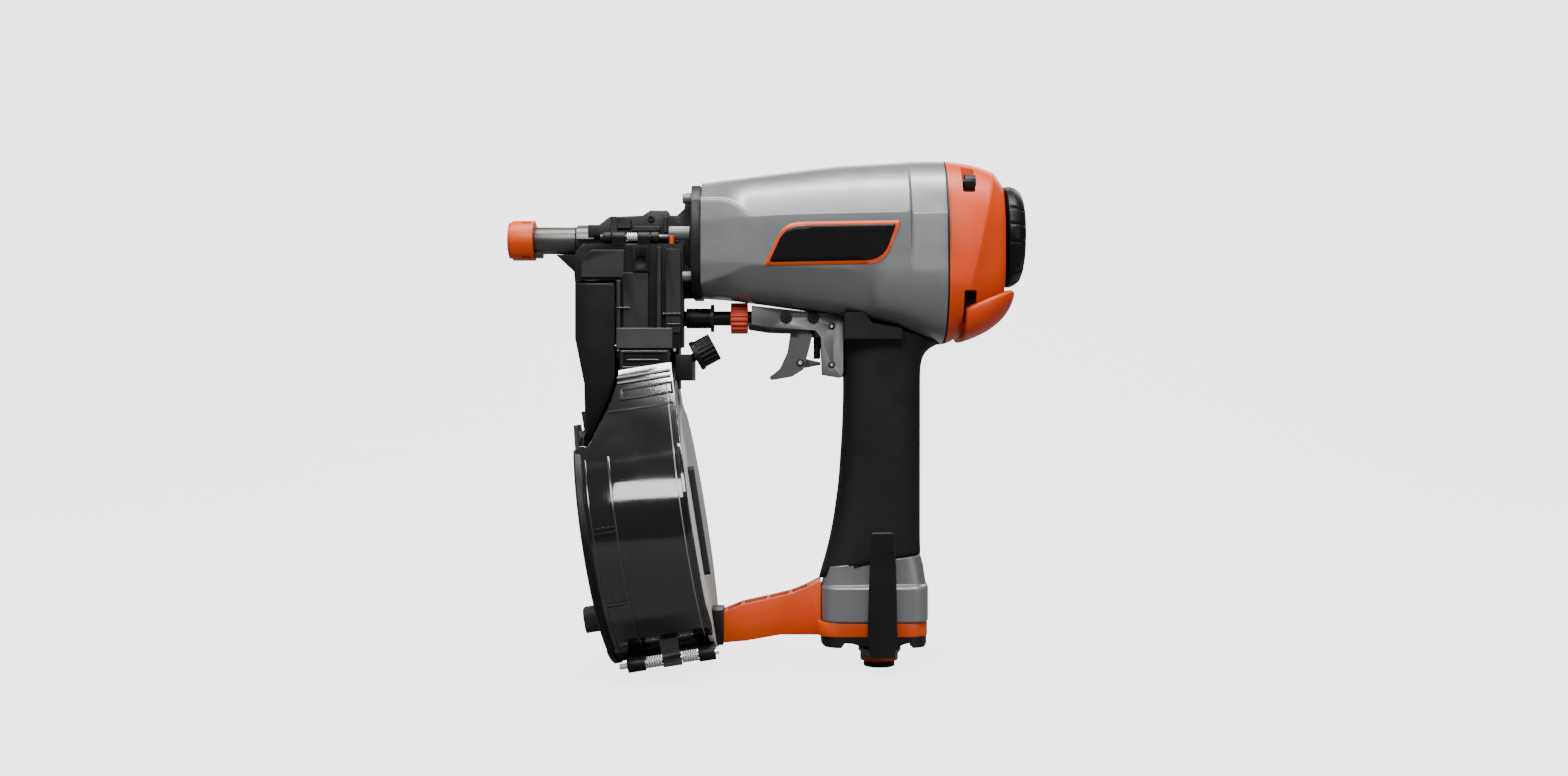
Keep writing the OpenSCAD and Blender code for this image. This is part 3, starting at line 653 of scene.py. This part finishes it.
def door_details():
    face = -15
    outline = fillet([(-171, 223.5, 1), (-171, 233, 5), (-165, 239.5, 5), (-146, 239.5, 1), (-146, 223.5, 1)])
    obj = prism("door_front_panel", outline, "y", face - 1.1, face + 0.4)
    finish_piece(obj, "black_steel", "door", smooth=35, bevel=0.5)
    detail("door_rib_left", (-150.6, -148), (face - 2.4, face + 0.4), (186.5, 222), "black_steel", "door")
    detail("door_column", (-146.8, -132.2), (face - 2.0, face + 0.4), (184, 226.4), "black_steel", "door",
           1.5)
    detail("door_rail_right", (-127.6, -124.8), (face - 2.6, face + 0.4), (188, 241), "black_steel", "door")
    detail("door_panel_right", (-122.6, -113.6), (face - 1.6, face + 0.4), (192, 240), "black_steel", "door",
           1.6)
    for word, x, rise, z in (("mid", (-150.6, -142.6), 2.9, 205.6), ("low", (-124.6, -113.4), 2.9, 202.2),
                             ("base", (-121.6, -113.6), 2.6, 196.4)):
        high = z + (1.0 if word == "base" else 1.2)
        detail(f"door_ledge_{word}", x, (face - rise, face + 0.2), (z, high), "rim_black", "door", 0.3, 0.2)
    outline = fillet([(-150.6, 183.2, 0.8), (-118.4, 183.2, 0.8), (-118.4, 194.9, 0.8), (-150.6, 194.9, 0.8)])
    obj = prism("door_plate", outline, "y", face - 3.2, face + 0.2)
    finish_piece(obj, "plate_brown", "door", smooth=35, bevel=0.4)
    frame_x, frame_z = (-148.6, -120.2), (170.6, 183.4)
    detail("door_foot_panel", frame_x, (face - 2.0, face + 9), frame_z, "black_plastic", "door", 3)
    for name, x, z in (("low", frame_x, (171.4, 173)), ("high", frame_x, (180.6, 182)),
                       ("left", (-148.6, -146.8), (172, 182)), ("right", (-122, -120.2), (172, 182)),
                       ("slot", (-144.5, -126), (176, 177.2))):
        detail(f"door_foot_rib_{name}", x, (face - 3.2, face - 1.2), z, "rim_black", "door", 0.5, 0.3)
    for x in (-149.6, -117.4):
        screw(f"door_pin_{-int(x)}", x, face, 182.4, 0.9, "door", depth=1.2)


def helix(name, center, direction, length, radius, wire, turns, body, replaces):
    turn = Vector((0, 0, 1)).rotation_difference(Vector(direction)).to_matrix()
    points = []
    count = turns * 14
    for i in range(count + 1):
        t = i / count
        angle = 2 * math.pi * turns * t
        place = Vector((radius * math.cos(angle), radius * math.sin(angle), length * t))
        points.append(Vector(center) + turn @ place)
    obj = tube(name, points, wire, 7)
    finish_piece(obj, "bright_steel", body, replaces, smooth=60)


def springs():
    axis = Vector((math.cos(TILT), 0, math.sin(TILT)))
    for name, u0, u1 in (("cover_spring_front", -8.8, -0.2), ("cover_spring_rear", 11.6, 20.0)):
        helix(name, drum(u0, -38, -70), axis, u1 - u0, 2.8, 0.62, 6, "root", ["cover_springs"])
    helix("door_spring_coil", (-145.0, -13, 247), (1, 0, 0), 6.0, 2.1, 0.5, 5, "root", ["door_spring"])


# ---- Magazine ---------------------------------------------------------------

def case_outline(shrink=0.0, steps=60, angles=(90, 270)):
    """The canister's round stretch as (v, w) points."""
    a0, a1 = (math.radians(a) for a in angles)
    return [((DRUM_R - shrink) * math.cos(a0 + (a1 - a0) * i / steps),
             (DRUM_R - shrink) * math.sin(a0 + (a1 - a0) * i / steps)) for i in range(steps + 1)]


def band(name, u0, u1, proud, angles, mat, body, bevel=0.4, depth=1.6):
    """A raised strip round the canister's wall."""
    outer = case_outline(-proud, 48, angles)
    inner = case_outline(depth - proud, 48, angles)
    verts, faces = [], []
    for (vo, wo), (vi, wi) in zip(outer, inner):
        verts += [drum(u0, vo, wo), drum(u1, vo, wo), drum(u1, vi, wi), drum(u0, vi, wi)]
    for i in range(len(outer) - 1):
        for j in range(4):
            a = i * 4 + j
            b = i * 4 + (j + 1) % 4
            faces.append((a, b, b + 4, a + 4))
    faces.append((0, 1, 2, 3))
    faces.append(tuple(len(verts) - 4 + j for j in range(4)))
    obj = mesh_object(name, verts, faces)
    finish_piece(obj, mat, body, smooth=40, bevel=bevel)


# The cover's slanted neck wall in the canister's (v, w): its top edge, and the way down to its lower edge
WALL_TOP = Vector((-24, 94))
WALL_RUN = Vector((-31, -47.6))
WALL_OUT = Vector((-0.838, 0.546))


def wall_strip(name, u, t, proud, mat, bevel=0.2):
    """A raised strip on the neck wall; t runs from its top edge (0) to its lower edge (1)."""
    corners = []
    for part in t:
        on_wall = WALL_TOP + WALL_RUN * part
        corners.append([on_wall + WALL_OUT * height for height in (-1.2, proud)])
    (a, b), (c, d) = corners
    verts = [drum(end, p.x, p.y) for end in u for p in (a, b, d, c)]
    faces = [(0, 1, 2, 3), (4, 5, 6, 7)] + [(j, (j + 1) % 4, (j + 1) % 4 + 4, j + 4) for j in range(4)]
    obj = mesh_object(name, verts, faces)
    finish_piece(obj, mat, "cover", smooth=40, bevel=bevel)


def magazine_details():
    band("cover_rim_front", -29.4, -24.6, 0.9, (132, 236), "black_plastic", "cover", 1.2,
         2.6)
    band("cover_rim_rear", 28.2, 30.4, 0.7, (138, 236), "smoky_plastic", "cover")
    for word, u0, u1, proud, mat, bevel in (("edge", -23.2, -22.4, 0.4, "rim_black", 0.2),
                                            ("front", -10.6, -9.4, 0.5, "rim_black", 0.25),
                                            ("rear", 25.6, 26.3, 0.35, "rim_pale", 0.15)):
        band(f"cover_line_{word}", u0, u1, proud, (139, 236), mat, "cover", bevel, 0.8)
    for i, angle in enumerate((171.5, 173.6, 205.5, 207.6)):
        span = (angle, angle + 0.8)
        band(f"cover_rib_{i}", -23.2, -10, 0.45, span, "rim_black", "cover", 0.15, 0.8)
    band("base_rim_front", -29.6, -26.2, 1.0, (-124, 62), "black_plastic", "root")
    band("base_rim_rear", 27.6, 30.3, 0.6, (-124, 62), "grey_plastic", "root")
    for word, t in (("high", (0.085, 0.105)), ("low", (0.15, 0.17))):
        wall_strip(f"cover_lip_{word}", (-1.5, 29), t, 0.8, "rim_pale")
    for word, u, t in (("high", (-0.5, 29.5), (0.23, 0.25)), ("low", (-0.5, 29.5), (0.345, 0.365)),
                       ("left", (-0.5, 0.8), (0.23, 0.365)), ("right", (28.2, 29.5), (0.23, 0.365))):
        wall_strip(f"cover_frame_{word}", u, t, 0.6, "rim_black")
    wall_strip("cover_shoulder", (-8, 29), (0.47, 0.49), 0.5, "rim_black")
    wall_strip("cover_line_upper", (25.6, 26.3), (0.2, 1.0), 0.35, "rim_pale", 0.15)


# ---- Controls ---------------------------------------------------------------

def trigger():
    outline = fillet([(-56.6, 199.5, 2), (-50, 203.6, 4), (-46, 198, 2), (-38.6, 191.6, 1.5),
                      (-40.8, 182.4, 6), (-44, 171.2, 1.2), (-50.5, 167.2, 1.5), (-62.4, 165.2, 1),
                      (-63.8, 166.8, 1), (-57.6, 171.6, 7), (-53.2, 181, 8), (-51.4, 193, 4)], 7)
    obj = prism("trigger_lever", outline, "y", -7.5, 7.5)
    slot = [(-49.6, 192), (-50.6, 181), (-53.5, 173), (-51, 170.2), (-30, 170.2), (-30, 210), (-60, 210),
            (-60, 196.5)]
    cut_with(obj, [prism("cutter", slot, "y", -5, 5)])
    finish_piece(obj, "cast_aluminium", "trigger", ["trigger"], smooth=30, bevel=1.1)
    for y, axis in ((-7.4, (0, -1, 0)), (7.4, (0, 1, 0))):
        word = "near" if y < 0 else "far"
        screw(f"lever_pin_rim_{word}", -45.8, y, 175.2, 2.3, "trigger", axis, 0.4, "black_steel")
        screw(f"lever_pin_head_{word}", -45.8, y, 175.2, 1.2, "trigger", axis, 0.6, "bright_steel")


def bracket_caps():
    """Screws on both cheeks of the trigger bracket, each a dark rim with a bright middle."""
    face = 11.0
    # X, Z, radius, the rim's height, and how far out the middle sits
    places = [(-53.9, 201.3, 3.3, 1.6, 0.9), (-38.3, 201.3, 3.3, 1.6, 0.9), (-27.8, 196, 1.9, 0.5, 0.2),
              (-27.8, 174, 1.9, 0.5, 0.2)]
    for i, (x, z, r, height, lift) in enumerate(places):
        for side in (-1, 1):
            word = "near" if side < 0 else "far"
            axis = (0, side, 0)
            screw(f"bracket_rim_{i}_{word}", x, side * face, z, r, "root", axis, height, "black_steel")
            top = side * (face + lift)
            screw(f"bracket_pin_{i}_{word}", x, top, z, r * 0.46, "root", axis, 0.5, "bright_steel")


def belt_hook():
    outline = fillet([(-6.4, 80, 2.2), (6.4, 80, 2.2), (7.6, 60, 8), (8.4, 22, 8), (6.8, 9.6, 2),
                      (-6.8, 9.6, 2), (-8.4, 22, 8), (-7.2, 60, 8)], 6)
    obj = prism("hook_blade", outline, "y", -33, -30)
    finish_piece(obj, "black_steel", "hook", ["belt_hook"], smooth=35, bevel=0.8)
    outline = fillet([(-7, -31, 1), (7, -31, 1), (12.4, -4, 6), (10, 8, 8), (0, 12.4, 8), (-10, 8, 8),
                      (-12.4, -4, 6)], 6)
    obj = prism("hook_base", outline, "z", 9.5, 12.5)
    finish_piece(obj, "black_steel", "hook", ["belt_hook"], smooth=35, bevel=0.6)


# ---- CAD nodes that stay ------------------------------------------------------

# Each carried-over node's material and bevel width in millimetres
KEPT = {
    "end_plate_bolts": ("bright_steel", 0.2), "magazine_strut": ("orange_plastic", 0.9),
    "inlet_fitting": ("black_steel", 0.5), "inlet_collar": ("orange_dark", 0.7),
    "cylinder_liner": ("cast_aluminium", 0), "liner_rings": ("black_rubber", 0),
    "piston_bumper": ("black_rubber", 0), "piston": ("cast_aluminium", 0),
    "piston_ring": ("black_rubber", 0), "driver_blade": ("burnished_steel", 0),
    "head_valve": ("cast_aluminium", 0), "cap_gasket": ("black_rubber", 0),
    "cap_bolts": ("black_steel", 0.4), "nose_casting": ("black_steel", 0.6),
    "nose_bolts": ("cast_aluminium", 0.4), "nose_barrel": ("burnished_steel", 0.3),
    "nose_cap": ("orange_plastic", 0.7), "contact_tube": ("burnished_steel", 0.3),
    "contact_arm": ("black_steel", 0.5), "contact_rod": ("black_steel", 0.4),
    "depth_wheel": ("orange_dark", 0.3), "depth_stop": ("bright_steel", 0.2),
    "nose_door": ("black_steel", 0.6), "door_hinge_pin": ("burnished_steel", 0.2),
    "door_latch": ("black_plastic", 0.5), "front_shield": ("black_plastic", 1.0),
    "magazine_base": ("black_plastic", 0.5), "canister_back_plate": ("grey_plastic", 0.4),
    "back_strip": ("black_rubber", 0.3), "canister_cover": ("smoky_plastic", 0.4),
    "cover_hinge_pin": ("bright_steel", 0.3), "nail_post": ("burnished_steel", 0.3),
    "nail_platform": ("black_plastic", 0.3), "rest_foot": ("black_rubber", 1.0),
    "strut_socket": ("black_plastic", 0.6), "latch_knob": ("black_plastic", 0.3),
    "feed_cylinder": ("cast_aluminium", 0.4), "feed_cap": ("bright_steel", 0.2),
    "feed_piston": ("bright_steel", 0.2), "pawl_pin": ("burnished_steel", 0),
    "feed_pawl": ("burnished_steel", 0.2), "trigger_bracket": ("cast_aluminium", 0.5),
    "bracket_screws": ("black_steel", 0.3), "bracket_pins": ("bright_steel", 0.2),
    "guard_strip": ("black_plastic", 0.3), "trigger_pin": ("bright_steel", 0.2),
    "trip_lever": ("burnished_steel", 0.2), "lever_pin": ("burnished_steel", 0.2),
    "trigger_valve": ("cast_aluminium", 0.2), "valve_stem": ("black_plastic", 0.3),
}


def dress_kept_nodes():
    for name, (mat, bevel) in KEPT.items():
        obj = NODES[name]
        obj.data.materials.clear()
        obj.data.materials.append(MATERIALS[mat])
        for poly in obj.data.polygons:
            poly.material_index = 0
            poly.use_smooth = True
        obj.data.set_sharp_from_angle(angle=math.radians(32))
        if bevel:
            weld = obj.modifiers.new("weld", "WELD")
            weld.merge_threshold = WELD_GAP * MM
            add_bevel(obj, bevel, 2, 35)


# ---- Stage ------------------------------------------------------------------

def stage():
    """A pale sweep: floor, bend and wall. Its glow lights only itself, so lamps alone light the object."""
    mat, _, shader = new_material("stage_pale")
    shader.inputs["Base Color"].default_value = (0.12, 0.12, 0.12, 1)
    shader.inputs["Emission Color"].default_value = (1, 1, 1, 1)
    shader.inputs["Emission Strength"].default_value = 2.9
    shader.inputs["Roughness"].default_value = 0.9
    shader.inputs["Specular IOR Level"].default_value = 0.1
    front, bend_start, bend, wall_top, half_wide = -2.5, 0.7, 0.9, 4.5, 5
    depth = [(front, 0), (bend_start, 0)]
    depth += [(bend_start + bend * math.sin(a), bend - bend * math.cos(a))
              for a in [math.radians(6 * k) for k in range(1, 16)]]
    depth.append((bend_start + bend, wall_top))
    gap = 0.4 * MM
    floor = CAD_BOX[0][2] - gap
    verts = []
    for y, z in depth:
        verts += [(-half_wide, y, floor + z), (half_wide, y, floor + z)]
    faces = [(2 * i, 2 * i + 1, 2 * i + 3, 2 * i + 2) for i in range(len(depth) - 1)]
    mesh = bpy.data.meshes.new("backdrop")
    mesh.from_pydata(verts, [], faces)
    obj = bpy.data.objects.new("backdrop", mesh)
    bpy.context.scene.collection.objects.link(obj)
    mesh.materials.append(mat)
    for poly in mesh.polygons:
        poly.use_smooth = True
    lit = bpy.data.collections.new("lit_by_backdrop")
    lit.objects.link(obj)
    obj.light_linking.receiver_collection = lit


def area_light(name, place, target, size, power, size_y=None):
    data = bpy.data.lights.new(name, "AREA")
    data.shape = "RECTANGLE"
    data.size = size
    data.size_y = size_y or size
    data.energy = power
    obj = bpy.data.objects.new(name, data)
    obj.location = place
    obj.rotation_euler = (Vector(target) - Vector(place)).to_track_quat("-Z", "Y").to_euler()
    bpy.context.scene.collection.objects.link(obj)


def lights():
    world = bpy.data.worlds.new("studio")
    bpy.context.scene.world = world
    world.use_nodes = True
    world.node_tree.nodes["Background"].inputs["Color"].default_value = (0.92, 0.93, 0.95, 1)
    world.node_tree.nodes["Background"].inputs["Strength"].default_value = 0.1
    middle = (-0.07, 0, 0.15)
    area_light("overhead", (-0.06, -0.19, 1.24), (-0.06, -0.03, 0.15), 1.4, 54, 0.14)
    area_light("front", (-0.2, -1.1, 1.0), middle, 0.9, 30, 0.4)
    area_light("fill", (1.0, -1.1, 0.4), middle, 0.8, 6)
    area_light("back", (0.2, 1.2, 0.9), middle, 1.2, 16, 0.6)
    area_light("side", (-1.2, 0.1, 0.5), middle, 0.7, 5)


def camera():
    """Looks straight at the near side from a set distance, and sees a set width at the centre plane."""
    distance, width_seen = 0.9, 0.909
    data = bpy.data.cameras.new("camera")
    data.sensor_width = 36
    data.lens = data.sensor_width * distance / width_seen
    obj = bpy.data.objects.new("camera", data)
    obj.location = (-0.0551, -distance, 0.1607)
    obj.rotation_euler = (math.radians(90), 0, 0)
    bpy.context.scene.collection.objects.link(obj)
    bpy.context.scene.camera = obj


camera()
lights()
stage()
dress_kept_nodes()
shell = main_housing()
bpy.context.view_layer.update()
badges(shell)
handle_end()
end_plate()
grip()
rear_cap()
cap_chin()
deflector()
nose_details()
door_details()
springs()
magazine_details()
trigger()
bracket_caps()
belt_hook()
